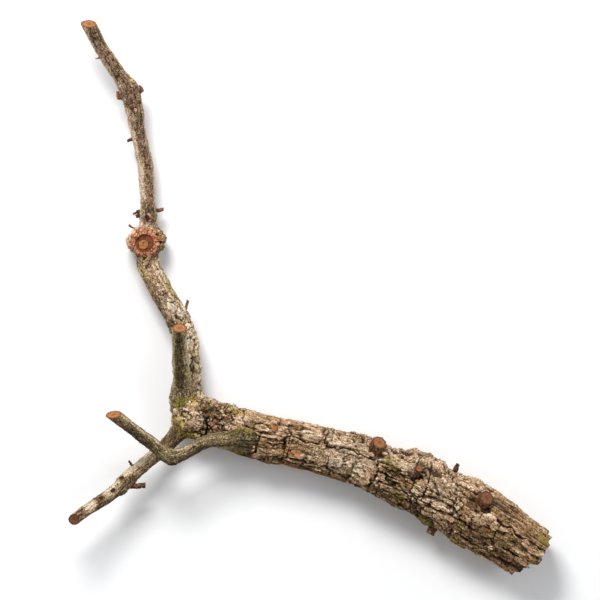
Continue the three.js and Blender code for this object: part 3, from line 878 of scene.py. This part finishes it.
def bark_material(name, tones, crack_colour, streak, chip_mm, shine, pink=0.5, green=0.5):
    """Weathered bark. Tones run from its dark layers to its bleached ones, streak is the length
    and width of its fibres in mm, chip_mm the length and width of its chips; pink and green are
    how much of it shows pinkish inner cork, or the green film of algae."""
    material, tree = new_material(name)
    grain = node(tree, "Attribute", attribute_name="grain").outputs["Vector"]
    masks = {k: node(tree, "Attribute", attribute_name=k).outputs["Fac"] for k in WEATHER_AND_PAINTED_LIGHT}
    # Grain is in mm, so a pattern's scale is one over its size in mm.
    long, wide = streak
    drawn_out = node(tree, "VectorMath", {0: grain, 1: (wide / long, 1, 1)}, operation="MULTIPLY")
    strand = node(tree, "TexNoise", {
        "Vector": drawn_out, "Scale": 1 / wide, "Detail": 4, "Roughness": 0.65,
    }).outputs["Fac"]
    fine, blotch, cloud = (node(tree, "TexNoise", {
        "Vector": grain, "Scale": 1 / size, "Detail": detail, "Roughness": 0.68,
    }).outputs["Fac"] for size, detail in ((FINE_MM, 4), (BLOTCH_MM, 3), (CLOUD_MM, 3)))
    long, wide = chip_mm
    cut_short = node(tree, "VectorMath", {0: grain, 1: (wide / long, 1, 1)}, operation="MULTIPLY")
    chips = node(tree, "TexVoronoi", {"Vector": cut_short, "Scale": 1 / wide}).outputs["Color"]
    chip = node(tree, "SeparateColor", {0: chips}).outputs
    edges = node(tree, "TexVoronoi", {
        "Vector": cut_short, "Scale": 1 / wide,
    }, feature="DISTANCE_TO_EDGE").outputs["Distance"]
    outline = node(tree, "MapRange", {0: edges, 1: 0.16, 2: 0.03, 3: 0.0, 4: 1.0})
    # Where the bark keeps in long strands, it has no chips.
    chipped = node(tree, "Math", {0: 1.0, 1: masks["fibre"]}, operation="SUBTRACT")
    gap = node(tree, "Math", {0: outline, 1: chipped}, operation="MULTIPLY")
    chip_tone = node(tree, "Math", {0: chip[0], 1: chipped}, operation="MULTIPLY")
    # The tone mask carries a painted highlight on what stands proud, and the dark mask painted shade in
    # pits.
    tone = node(tree, "Math", {0: masks["tone"], 1: 0.5, 2: DARKEN}, operation="MULTIPLY_ADD")
    for value, weight in (
        (strand, 1.05), (chip_tone, 0.24), (fine, 1.7), (gap, -0.08), (masks["pale"], 0.16),
        (masks["dark"], -0.24),
    ):
        tone = node(tree, "Math", {0: value, 1: weight, 2: tone}, operation="MULTIPLY_ADD")
    colour = node(tree, "ValToRGB", {"Fac": tone}, stops=tones)
    colour = stained(tree, colour, [
        (PINKISH, chip[1], 0.25, blotch, 0.62, 0.8, pink),
        (ALGAE, chip[2], 0.2, cloud, 0.58, 0.78, green),
        (BLEACHED, masks["pale"], 0.3, fine, 0.64, 0.95, 0.45),
        (LICHEN, masks["lichen"], 0.22, fine, 0.68, 0.8, 0.85),
        (MOSS, masks["moss"], 0.24, fine, 0.66, 0.82, 0.85),
        (INNER_BARK, masks["raw"], 0.3, fine, 0.66, 0.86, 0.85),
        (SCAR, masks["knot"], 0.6, fine, 0.8, 1.0, 1.0),
        (crack_colour, gap, 0.5, strand, 0.74, 1.0, 0.5),
        # The crack mask also carries painted shade in hollows and pits.
        (crack_colour, masks["crack"], 0.9, fine, 0.75, 1.35, 0.9),
        (crack_colour, fine, -1.0, 0.0, -0.41, -0.32, 0.85),
    ])
    lifted = node(tree, "Math", {0: chip[0], 1: 0.35, 2: fine}, operation="MULTIPLY_ADD")
    surface(tree, colour, lifted, 0.8, 0.9, strand, shine, 0.97, 1.45, 0.2)
    return material


def cut_material(name, heart, wood, edge, ring_mm, shine=0.7):
    """Sawn wood: growth rings round a darker heart, rays, grime, and the bark's dark edge."""
    material, tree = new_material(name)
    grain = node(tree, "Attribute", attribute_name="grain").outputs["Vector"]
    share = node(tree, "Attribute", attribute_name="ring").outputs["Fac"]
    place = node(tree, "SeparateXYZ", {0: grain}).outputs
    turn = node(tree, "Math", {0: place[2], 1: place[1]}, operation="ARCTAN2")
    # Rays run from the heart to the edge, so their pattern is laid out by turn and share.
    spun = node(tree, "CombineXYZ", {0: turn, 1: share})
    rays = node(tree, "TexNoise", {"Vector": spun, "Scale": 4, "Detail": 4, "Roughness": 0.7})
    wobble = node(tree, "TexNoise", {"Vector": grain, "Scale": 1 / WOBBLE_MM, "Detail": 3})
    fine = node(tree, "TexNoise", {
        "Vector": grain, "Scale": 1 / WORN_MM, "Detail": 5, "Roughness": 0.75,
    })
    bent = node(tree, "Math", {0: wobble, 1: 0.3, 2: share}, operation="MULTIPLY_ADD")
    turns = node(tree, "Math", {0: bent, 1: RING_TURN / ring_mm}, operation="MULTIPLY")
    wave = node(tree, "Math", {0: turns}, operation="SINE")
    ringed = node(tree, "Math", {0: wave, 1: 0.05, 2: bent}, operation="MULTIPLY_ADD")
    mottled = node(tree, "Math", {0: fine, 1: 0.6, 2: ringed}, operation="MULTIPLY_ADD")
    stops = [(0.25, heart), (0.4, heart), (0.53, wood), (0.7, wood), (0.86, edge)]
    squeezed = node(tree, "MapRange", {0: mottled, 1: 0.0, 2: 1.6})
    colour = node(tree, "ValToRGB", {"Fac": squeezed}, stops=stops)
    colour = stained(tree, colour, [
        (edge, rays, 1.0, 0.0, 0.47, 0.62, 0.8),
        (heart, fine, 1.0, 0.0, 0.48, 0.6, 0.9),
        (edge, fine, 1.0, 0.0, 0.42, 0.32, 0.8),
    ])
    surface(tree, colour, mottled, 0.6, 0.6, fine, shine, 0.9, 1.5, 0.3)
    return material


def callus_material(name, core, disc, lip, gap):
    """A healed cut: pale old wood, a dark recessed ring, and the fleshy orange lip round it."""
    material, tree = new_material(name)
    grain = node(tree, "Attribute", attribute_name="grain").outputs["Vector"]
    zone, deep, crest = (
        node(tree, "Attribute", attribute_name=key).outputs["Fac"] for key in ("ring", "crack", "pale")
    )
    fine = node(tree, "TexNoise", {
        "Vector": grain, "Scale": 1 / PORE_MM, "Detail": 4, "Roughness": 0.72,
    })
    soft = node(tree, "TexNoise", {"Vector": grain, "Scale": 1 / FOLD_MM, "Detail": 3})
    broken = node(tree, "Math", {0: fine, 1: 0.2, 2: zone}, operation="MULTIPLY_ADD")
    stops = [(0.1, core), (0.3, core), (0.42, disc), (0.62, disc), (0.78, lip), (1.0, lip)]
    colour = node(tree, "ValToRGB", {"Fac": broken}, stops=stops)
    # Only the lip, where the zone is 1, has dry pale edges. Its pores are as dark as the disc.
    colour = stained(tree, colour, [
        (PALE_CALLUS, crest, 0.5, zone, 1.1, 1.4, 0.9),
        (PALE_CALLUS, soft, 1.0, zone, 1.52, 1.62, 0.6),
        (disc, fine, -1.0, zone, 0.48, 0.62, 0.95),
        (gap, deep, 1.0, 0.0, 0.0, 1.0, 1.0),
    ])
    surface(tree, colour, fine, 0.7, 0.7, fine, 0.65, 0.9, 1.45, 0.3)
    return material


# Thick old cork: soft, pale-faced plates with dark cracks, fully matt.
old_cork = bark_material(
    "old_cork",
    [(0.24, "#22180c"), (0.38, "#5d4728"), (0.52, "#8e6f4b"), (0.68, "#be9a76"), (0.86, "#f2dabd")],
    "#1c130a", (10, 1.1), (3.4, 1.5), 0.86, 0.62, 0.45)
# Thin flaking bark of the leader: grey-tan, streaked along the limb, dusted with lichen.
flaking_bark = bark_material(
    "flaking_bark",
    [(0.24, "#2c2113"), (0.4, "#665037"), (0.54, "#937757"), (0.7, "#bda07d"), (0.88, "#f4e2cc")],
    "#20170d", (8, 1.1), (3.2, 1.5), 0.8, 0.45, 0.35)
# Thin bark of the upper leader: the same, greyed and a little pink.
greyed_bark = bark_material(
    "greyed_bark",
    [(0.24, "#2d2418"), (0.4, "#6a5641"), (0.54, "#998067"), (0.7, "#c2a98e"), (0.88, "#f6e8d9")],
    "#20170d", (8, 1.1), (3.2, 1.5), 0.8, 0.5, 0.25)
# Sun-bleached bark of the lower shoot: ash grey to cream, with little pink in it.
ashen_bark = bark_material(
    "ashen_bark",
    [(0.24, "#281e13"), (0.4, "#5d4d37"), (0.54, "#8a7455"), (0.7, "#b6a17e"), (0.88, "#f0e2ca")],
    "#20170d", (8, 1.1), (3.2, 1.5), 0.8, 0.35, 0.4)
# Smooth bark of the youngest shoots: olive brown, finely grooved, with the least sheen.
olive_bark = bark_material(
    "olive_bark",
    [(0.24, "#1c160d"), (0.4, "#443925"), (0.54, "#6a5b40"), (0.7, "#948363"), (0.88, "#cdbd9c")],
    "#1b140b", (8, 0.9), (3.0, 1.3), 0.72, 0.25, 0.4)
# Dry dead side wood: red-brown, split along its length.
dead_bark = bark_material(
    "dead_bark",
    [(0.24, "#180d07"), (0.4, "#372013"), (0.54, "#543421"), (0.7, "#774f33"), (0.88, "#a07854")],
    "#130a05", (9, 0.8), (4.0, 1.0), 0.75, 0.25, 0.15)
# Fresh saw cut: orange sapwood that has just begun to grey.
fresh_cut = cut_material("fresh_cut", "#9a5f35", "#bd8253", "#4a2b18", 1.0)
# Older saw cut: the face has browned.
old_cut = cut_material("old_cut", "#6b4026", "#8d5b3b", "#33211a", 1.0)
# Saw cut of the year before: between the two, with a dark weathered rim.
browned_cut = cut_material("browned_cut", "#85502c", "#a86f46", "#3a2214", 1.0)
# Torn butt: rough grey-brown wood inside a thick rim of cork.
torn_wood = cut_material("torn_wood", "#6a5138", "#8a6d4c", "#3a2b1b", 2.2, 0.85)
# Healed knot: the tree has closed over an old cut, and the lip has cracked open again.
healed_knot = callus_material("healed_knot", "#a8733f", "#632b15", "#c47f57", "#2a140a")


# ---- pieces ----


def dress(piece, materials, slot, *nodes):
    """Gives a piece its materials and says what it rides on and replaces. The slot it is finished as is not
    used.
    """
    for material in materials:
        piece.data.materials.append(material)
    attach(piece, "root")
    if nodes:
        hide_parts(*nodes)


def main_bark(q, distance, seed):
    """Warts at the fork, then cork: long ridges, broad plates, and straight ridges to the butt."""
    plates = cork_relief(q, seed, (34, 9.5, 9.5), (7, 1.9, 1.9), (2.2, 1.0, 1.0))
    ridges = cork_relief(q, seed + 300, (44, 6.5, 6.5), (15, 2.2, 2.2), (3.4, 1.2, 1.2), 3.4, 1.0, 0.5, 0.6)
    ridges["tone"] -= 0.1
    ridged = np.maximum(ease(218, 256, distance), ease(118, 98, distance))
    return blended(warty_relief(q, seed), blended(plates, ridges, ridged), ease(40, 58, distance))


def leader_bark(q, distance, seed):
    """Warty near the fork, which thins to flaking bark by mid limb."""
    warty = warty_relief(q * 0.95, seed)
    warty["tone"] += 0.12
    return blended(warty, young_relief(q, seed), 0.85 * ease(45, 105, distance))


def upper_bark(q, distance, seed):
    """Flaky above the burl, then smooth and streaked."""
    return young_relief(q, seed, 0.2 + 0.8 * ease(42, 16, distance))


def shoot_bark(q, distance, seed):
    """Nearly smooth, all along a young shoot."""
    return young_relief(q, seed, 0.22)


def twig_bark(q, distance, seed):
    """Dry and half flaked, all along a twig or stub."""
    return young_relief(q, seed, 0.6)


def marks(name):
    """The spots and cracks that a limb's bark has by name."""
    return {"spots": SPOTS.get(name, ()), "cracks": CRACKS.get(name, ())}


def add_limb(name, relief, pitch, seed, looks, slot, *nodes, others=()):
    """A named limb's skin, which stands for its own node unless others are named."""
    skin = limb_skin(name + "_skin", limbs[name], relief, pitch, seed, others=others, **marks(name))
    dress(skin, looks, slot, *(nodes or (name,)))


main, leader, upright = limbs["main_limb"], limbs["leader"], limbs["upright_shoot"]

PARTED_AT = 0.55  # the share of the thick limb's rings before the deep crack across its middle

# The thick limb is one skin in two pieces, parted at that crack.
thick = limb_tube(main, main_bark, 0.48, 11, torn=1.0, **marks("main_limb"), others=[
    (leader, 10), (limbs["lower_shoot"], 6), (upright, 6), (limbs["crooked_shoot"], 5),
])
parting = int(PARTED_AT * thick["bark_rings"])
dress(tube_object("main_limb_fork_half", thick, 0, parting), [old_cork], "cork_bark", "main_limb")
dress(tube_object("main_limb_butt_half", thick, parting), [old_cork, torn_wood], "cork_bark", "main_limb")

add_limb("leader", leader_bark, 0.62, 23, [flaking_bark, old_cut], "grey_bark",
         others=[(main, 10), (upright, 5)])
add_limb("upper_leader", upper_bark, 0.52, 37, [greyed_bark, fresh_cut], "grey_bark",
         "upper_leader", "leader_tip")
add_limb("lower_shoot", shoot_bark, 0.5, 41, [ashen_bark, old_cut], "grey_bark", others=[(main, 6)])
add_limb("upright_shoot", shoot_bark, 0.5, 53, [olive_bark, fresh_cut], "dark_bark",
         others=[(main, 9), (leader, 9)])
add_limb("crooked_shoot", shoot_bark, 0.5, 61, [olive_bark, fresh_cut], "dark_bark", others=[(main, 7)])

LIGHTER_CUTS = {"fork_stub_left": fresh_cut, "stub_mid": browned_cut, "stub_small": browned_cut}
for seed, (name, (on, *stance)) in enumerate(SIDE_PIECES.items(), 100):
    twig = side_limb(limbs[on], *stance)
    skin = limb_skin(name + "_skin", twig, twig_bark, 0.34, seed, face_rings=8, **marks(name))
    bark, slot = (olive_bark, "grey_bark") if name == "green_spur" else (dead_bark, "dead_wood")
    dress(skin, [bark, LIGHTER_CUTS.get(name, old_cut)], slot, name)


FLAKE_SIDES, FLAKE_RINGS = 26, 6
FLAKE_SEAT = 6  # a flake sits on the bark within this many steps of the limb's grid
# For a flake at a random place, the least of each measure in FLAKES, and how much more it may be.
FLAKE_RANGES = ((60, 232), (-100, 200), (1.8, 2.4), (1.0, 1.2), (0.4, 0.7), (0, 360))


def bark_flakes(limb, tube, spots, count, seed):
    """Thin flakes of cork that have come away along one edge. Each is a small ragged plate on the
    skin, bare and orange beneath. Named ones come first, then as many more as count, scattered."""
    sides, reach = FLAKE_SIDES, FLAKE_RINGS
    around = np.arange(sides) * 2 * math.pi / sides
    tops, grid = tube["tops"], tube["values"]["height"]
    window = np.arange(-FLAKE_SEAT, FLAKE_SEAT + 1)
    for k in range(count):
        shares = [scatter(np.array([k, part, 0]), seed) for part in range(len(FLAKE_RANGES))]
        spots = [*spots, tuple(least + more * share for (least, more), share in zip(FLAKE_RANGES, shares))]
    points, faces, values = [], [], {key: [] for key in ("grain", "ring", *WEATHER_AND_PAINTED_LIGHT)}
    for number, (at, clock, long, wide, lift, lifted_to) in enumerate(spots):
        ring = np.searchsorted(tops, at).clip(FLAKE_SEAT, len(tops) - FLAKE_SEAT - 1)
        side = int(round(clock / 360 * tube["sides"]))
        seat = (ring + window)[:, None] * tube["sides"] + (side + window) % tube["sides"]
        base = np.percentile(grid[seat.ravel()], 55)  # sunk a little below the seat's high spots
        rim = np.stack([np.cos(around), np.sin(around), around * 0 + number], -1)
        ragged = 1 + 0.3 * waver(rim * 1.7, seed) + 0.28 * waver(rim * 5, seed + 1)
        share = np.repeat(np.linspace(1, 0.08, reach), sides)
        turn, outline = np.tile(around, reach), share * np.tile(ragged, reach)
        u, v = outline * long * np.cos(turn), outline * wide * np.sin(turn)
        toward = math.radians(lifted_to)
        rise = ease(-0.4, 1.1, (u / long) * math.cos(toward) + (v / wide) * math.sin(toward))
        crumple = 0.5 * rough(np.stack([u, v, 0 * u + number], -1) / (4, 1.6, 1), seed + 2, 2)
        clock_at = math.radians(clock) + v / limb.radius(at)
        _, over, aside = limb.directions(at + u)
        way = over * np.cos(clock_at)[:, None] + aside * np.sin(clock_at)[:, None]
        thickness = 0.2 + 0.25 * ease(1.0, 0.7, share)
        own_tone = 0.3 + 0.4 * (number * GOLDEN % 1)
        bare_edge = 0.6 * ease(0.75, 1.0, share) * (number % 3 == 0)
        for under in (0, 1):
            first = sum(len(part) for part in points)
            out = limb.radius(at + u) + base + lift * rise + crumple + (1 - 2 * under) * thickness
            points.append(limb.centre(at + u) + way * out[:, None])
            values["grain"].append(np.stack([at + u, out * np.cos(clock_at), out * np.sin(clock_at)], -1))
            for key in ("ring", *WEATHER_AND_PAINTED_LIGHT):
                values[key].append(np.zeros(len(u)))
            values["ring"][-1] += 1
            values["tone"][-1] += own_tone - 0.2 * under
            values["raw"][-1] += 0.8 if under else bare_edge
            values["fibre"][-1] += 0.3
            walls = np.array(tube_faces(reach, sides)[:(reach - 1) * sides]) + first
            faces += list(walls[:, ::-1] if under else walls)
            cap = np.arange(sides) + first + (reach - 1) * sides
            faces.append(cap[::-1] if under else cap)
        above = first - reach * sides
        for k in range(sides):
            after = (k + 1) % sides
            faces.append((first + k, first + after, above + after, above + k))
    values = {key: np.concatenate(parts) for key, parts in values.items()}
    return make_mesh("bark_flakes", np.concatenate(points), faces, np.zeros(len(faces), int), values)


def ball_points(subdivisions):
    """The corners and faces of an even ball of radius one."""
    shape = bmesh.new()
    bmesh.ops.create_icosphere(shape, subdivisions=subdivisions, radius=1)
    way = unit(np.array([v.co[:] for v in shape.verts]))
    faces = [[v.index for v in f.verts] for f in shape.faces]
    shape.free()
    return way, faces


def burl_skin():
    """The burl: lumpy callus, in thin leaves on one side and knobs on the other."""
    way, faces = ball_points(subdivisions=7)
    q = way * np.array(BURL["half"]) * 0.94
    bark = unmarked(blended(warty_relief(q * 1.2, 71), young_relief(q, 71), 0.5))
    left = ease(-5, -9, q[:, 0])
    right = ease(4, 9, q[:, 0])
    leaf = (np.hypot(q[:, 0] + 2, q[:, 1]) / 1.9 + 0.7 * rough(q / 5, 72, 2)) % 1
    knobs = np.zeros(len(q))
    for x, y, z, reach in BURL["knobs"]:
        away = np.linalg.norm((q - (x, y, z)) * (1, 1, 0.7), axis=1) + 0.5 * rough(q / 2.5, 77, 2)
        knobs = np.maximum(knobs, ease(reach, 0.3 * reach, away))
    height = bark["height"] * 0.8 + left * 1.3 * (ease(0, 0.75, leaf) - ease(0.8, 1, leaf) - 0.4)
    height += right * (2.8 * knobs - 1.4)
    split = left * ease(0.14, 0.0, np.minimum(leaf, 1 - leaf)) + right * ease(0.4, 0.1, knobs)
    bark["crack"] = np.clip(bark["crack"] * 0.7 + split, 0, 1)
    bark["pale"] = 1.3 * left * ease(0.2, 0.6, leaf)
    bark["lichen"] = 0.62 * right * knobs
    bark["moss"] = 0.6 * right
    bark["dark"] = right * (1 - 0.4 * knobs)
    bark["tone"] = bark["tone"] + 0.3 * left
    points = from_fork(BURL["at"]) + q + way * height[:, None]
    inside = ease(KNOT["lip"], KNOT["lip"] - 2.5, from_knot(points))
    top = BURL["face"] - 0.6 - 6.5 * inside + 0.25 * bark["height"]
    points[:, 2] = np.clip(points[:, 2], GROUND, np.maximum(top, GROUND + 1))
    return make_mesh("knot_burl_skin", points, faces, np.zeros(len(faces), int), {
        "grain": q, "ring": np.ones(len(q)), **bark,
    })


KNOT_DEPTH = 8  # the healed face's underside comes to a point this far down, inside the burl


def healed_face():
    """The cut that the burl has grown round: a ragged lip, a sunken ring and a paler core."""
    sides, reach = 220, 70
    theta = np.arange(sides) * 2 * math.pi / sides
    turn = np.stack([np.cos(theta), np.sin(theta), 0 * theta], -1)
    wavy = 1.02 + 0.1 * waver(turn * 1.3, 91) + 0.09 * waver(turn * 4, 82) + 0.07 * waver(turn * 12, 86)
    edge = KNOT["lip"] * wavy
    share = np.linspace(1, 0.02, reach)[:, None]
    x, y = edge * share * np.cos(theta), edge * share * np.sin(theta)
    flat = np.stack([x, y, 0 * x], -1).reshape(-1, 3)
    x, y = x.ravel(), y.ravel()
    ragged = 0.5 * rough(flat / 2.2, 83, 3)
    from_disc = np.hypot(x - KNOT["disc_at"][0], y - KNOT["disc_at"][1]) + ragged
    from_core = np.hypot(x - KNOT["core_at"][0], y - KNOT["core_at"][1]) + 0.6 * ragged
    in_disc = ease(KNOT["disc"] + 0.9, KNOT["disc"] + 0.1, from_disc)
    in_core = ease(KNOT["core"] + 0.4, KNOT["core"] - 0.3, from_core)
    leaves = np.abs(rough(flat / 1.7, 84, 3))
    height = 1.6 - 2.5 * in_disc + 0.5 * in_core + (1 - in_disc) * (2.3 * leaves - 0.7 + 1.6 * ragged)
    height += 0.18 * rough(flat / 0.9, 85, 2) - 0.25 * ease(0.35, 0.0, np.abs(from_core - KNOT["core"]))
    to_edge = np.repeat(share, sides)
    height -= 2.2 * to_edge**5 + 4.5 * ease(0.9, 1.04, to_edge)
    zone = 1 - 0.45 * in_disc - 0.4 * in_core * in_disc
    crack = 0.75 * ease(0.5, 0.0, np.abs(from_disc - KNOT["disc"] - 0.2)) + 0.9 * ease(0.22, 0.0, leaves)
    crack = np.clip(crack, 0, 1) * ease(0.0, 0.3, ragged + 0.25)
    centre = from_fork((*KNOT["at"], BURL["face"] - 1.3))
    points = centre + flat + UP * height[:, None]
    middle = points[-sides:].mean(axis=0)
    under = centre - UP * KNOT_DEPTH
    points = np.vstack([points, under, middle])
    attributes = {"grain": np.vstack([flat, [[0, 0, -KNOT_DEPTH], [0, 0, 0]]])}
    for key, values in (("ring", zone), ("crack", crack), ("pale", ease(0.3, 0.75, leaves))):
        attributes[key] = np.concatenate([values, [values[0], values[-1]]])
    faces = tube_faces(reach, sides)
    return make_mesh("healed_knot_face", points, faces, np.zeros(len(faces), int), attributes)


dress(bark_flakes(main, thick, FLAKES, count=40, seed=401), [old_cork], "cork_bark")
dress(burl_skin(), [old_cork], "cork_bark", "knot_burl")
dress(healed_face(), [healed_knot], "cork_bark")

for seed, (name, (on, *stance)) in enumerate(FINE_TWIGS.items(), 200):
    skin = limb_skin(name, side_limb(limbs[on], *stance), twig_bark, 0.3, seed, face_rings=4)
    dress(skin, [flaking_bark, flaking_bark] if name == "burl_shard" else [dead_bark, old_cut], "dead_wood")


# ---- floor, light and camera ----

MID_HEIGHT = 22 * MM  # the height of the plane through the thick limb's middle
ZENITH = 5000 * MM  # the camera's height over that plane
SEEN = 456 * MM  # the width that the camera takes in there
AIM = (-8.6 * MM, -0.8 * MM)  # the point that the camera is over
SENSOR = 36  # a full frame's width in mm
DAYLIGHT = 0.42  # the strength of the even light from all round
FLOOR_HALF = 6  # half the floor's side in metres, past all that any view takes in


def flat_floor():
    """A plain pale floor."""
    corners = [(x * FLOOR_HALF, y * FLOOR_HALF, 0) for x, y in ((-1, -1), (1, -1), (1, 1), (-1, 1))]
    mesh = bpy.data.meshes.new("floor")
    mesh.from_pydata(corners, [], [(0, 1, 2, 3)])
    floor = bpy.data.objects.new("floor", mesh)
    bpy.context.scene.collection.objects.link(floor)
    material, tree = new_material("pale_floor")
    shader = node(tree, "BsdfPrincipled", {"Base Color": linear("#f3f4f6"), "Roughness": 0.9})
    node(tree, "OutputMaterial", {"Surface": shader})
    mesh.materials.append(material)


def softbox(name, place, size, watts, tint):
    """A square studio light that looks at the branch. Its place and size are in metres."""
    lamp = bpy.data.lights.new(name, "AREA")
    lamp.size = size
    lamp.energy = watts
    lamp.color = linear(tint)[:3]
    made = bpy.data.objects.new(name, lamp)
    made.location = place
    made.rotation_euler = (-Vector(place)).to_track_quat("-Z", "Y").to_euler()
    bpy.context.scene.collection.objects.link(made)


def studio():
    """Even white light, a key light from the top left, a weak fill, and the camera."""
    world = bpy.data.worlds.new("studio")
    world.use_nodes = True
    background = world.node_tree.nodes["Background"].inputs
    background["Color"].default_value = linear("#ffffff")
    background["Strength"].default_value = DAYLIGHT
    scene = bpy.context.scene
    scene.world = world
    scene.view_settings.view_transform = "Standard"
    softbox("key", (-0.5, 1.3, 1.6), 0.8, 44, "#fffefc")
    softbox("fill", (1.4, 0.2, 1.5), 1.2, 9, "#fbfdff")
    camera = bpy.data.cameras.new("camera")
    camera.sensor_width = SENSOR
    camera.lens = SENSOR * ZENITH / SEEN
    camera.clip_end = 8 * ZENITH
    camera.dof.use_dof = False
    made = bpy.data.objects.new("camera", camera)
    made.location = (*AIM, MID_HEIGHT + ZENITH)
    scene.collection.objects.link(made)
    scene.camera = made


flat_floor()
studio()
